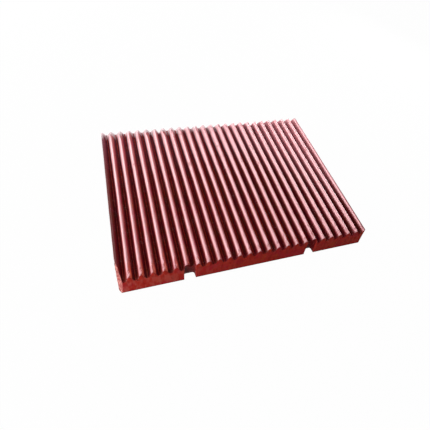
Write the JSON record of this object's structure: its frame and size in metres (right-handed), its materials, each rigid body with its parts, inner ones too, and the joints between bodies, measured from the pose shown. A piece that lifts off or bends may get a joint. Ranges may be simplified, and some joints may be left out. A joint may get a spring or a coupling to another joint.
{
  "type": "crusher jaw plate",
  "caption": "Cast jaw plate for a stone crusher, with straight rounded teeth on its working face, leaning ends for clamp wedges and edge notches.",
  "frame": {"origin": "middle of the back face, on the surface that the plate lies or bears on", "axes": "+X across the teeth, +Y along the teeth, +Z out of the working face from the back to the crests"},
  "size_m": [0.981, 0.7432, 0.076],
  "materials": {
    "red_primer": "red oxide shop paint over as-cast manganese steel, semi-gloss"
  },
  "bodies": {
    "root": {"jaw_plate": "red_primer"}
  },
  "joints": []
}
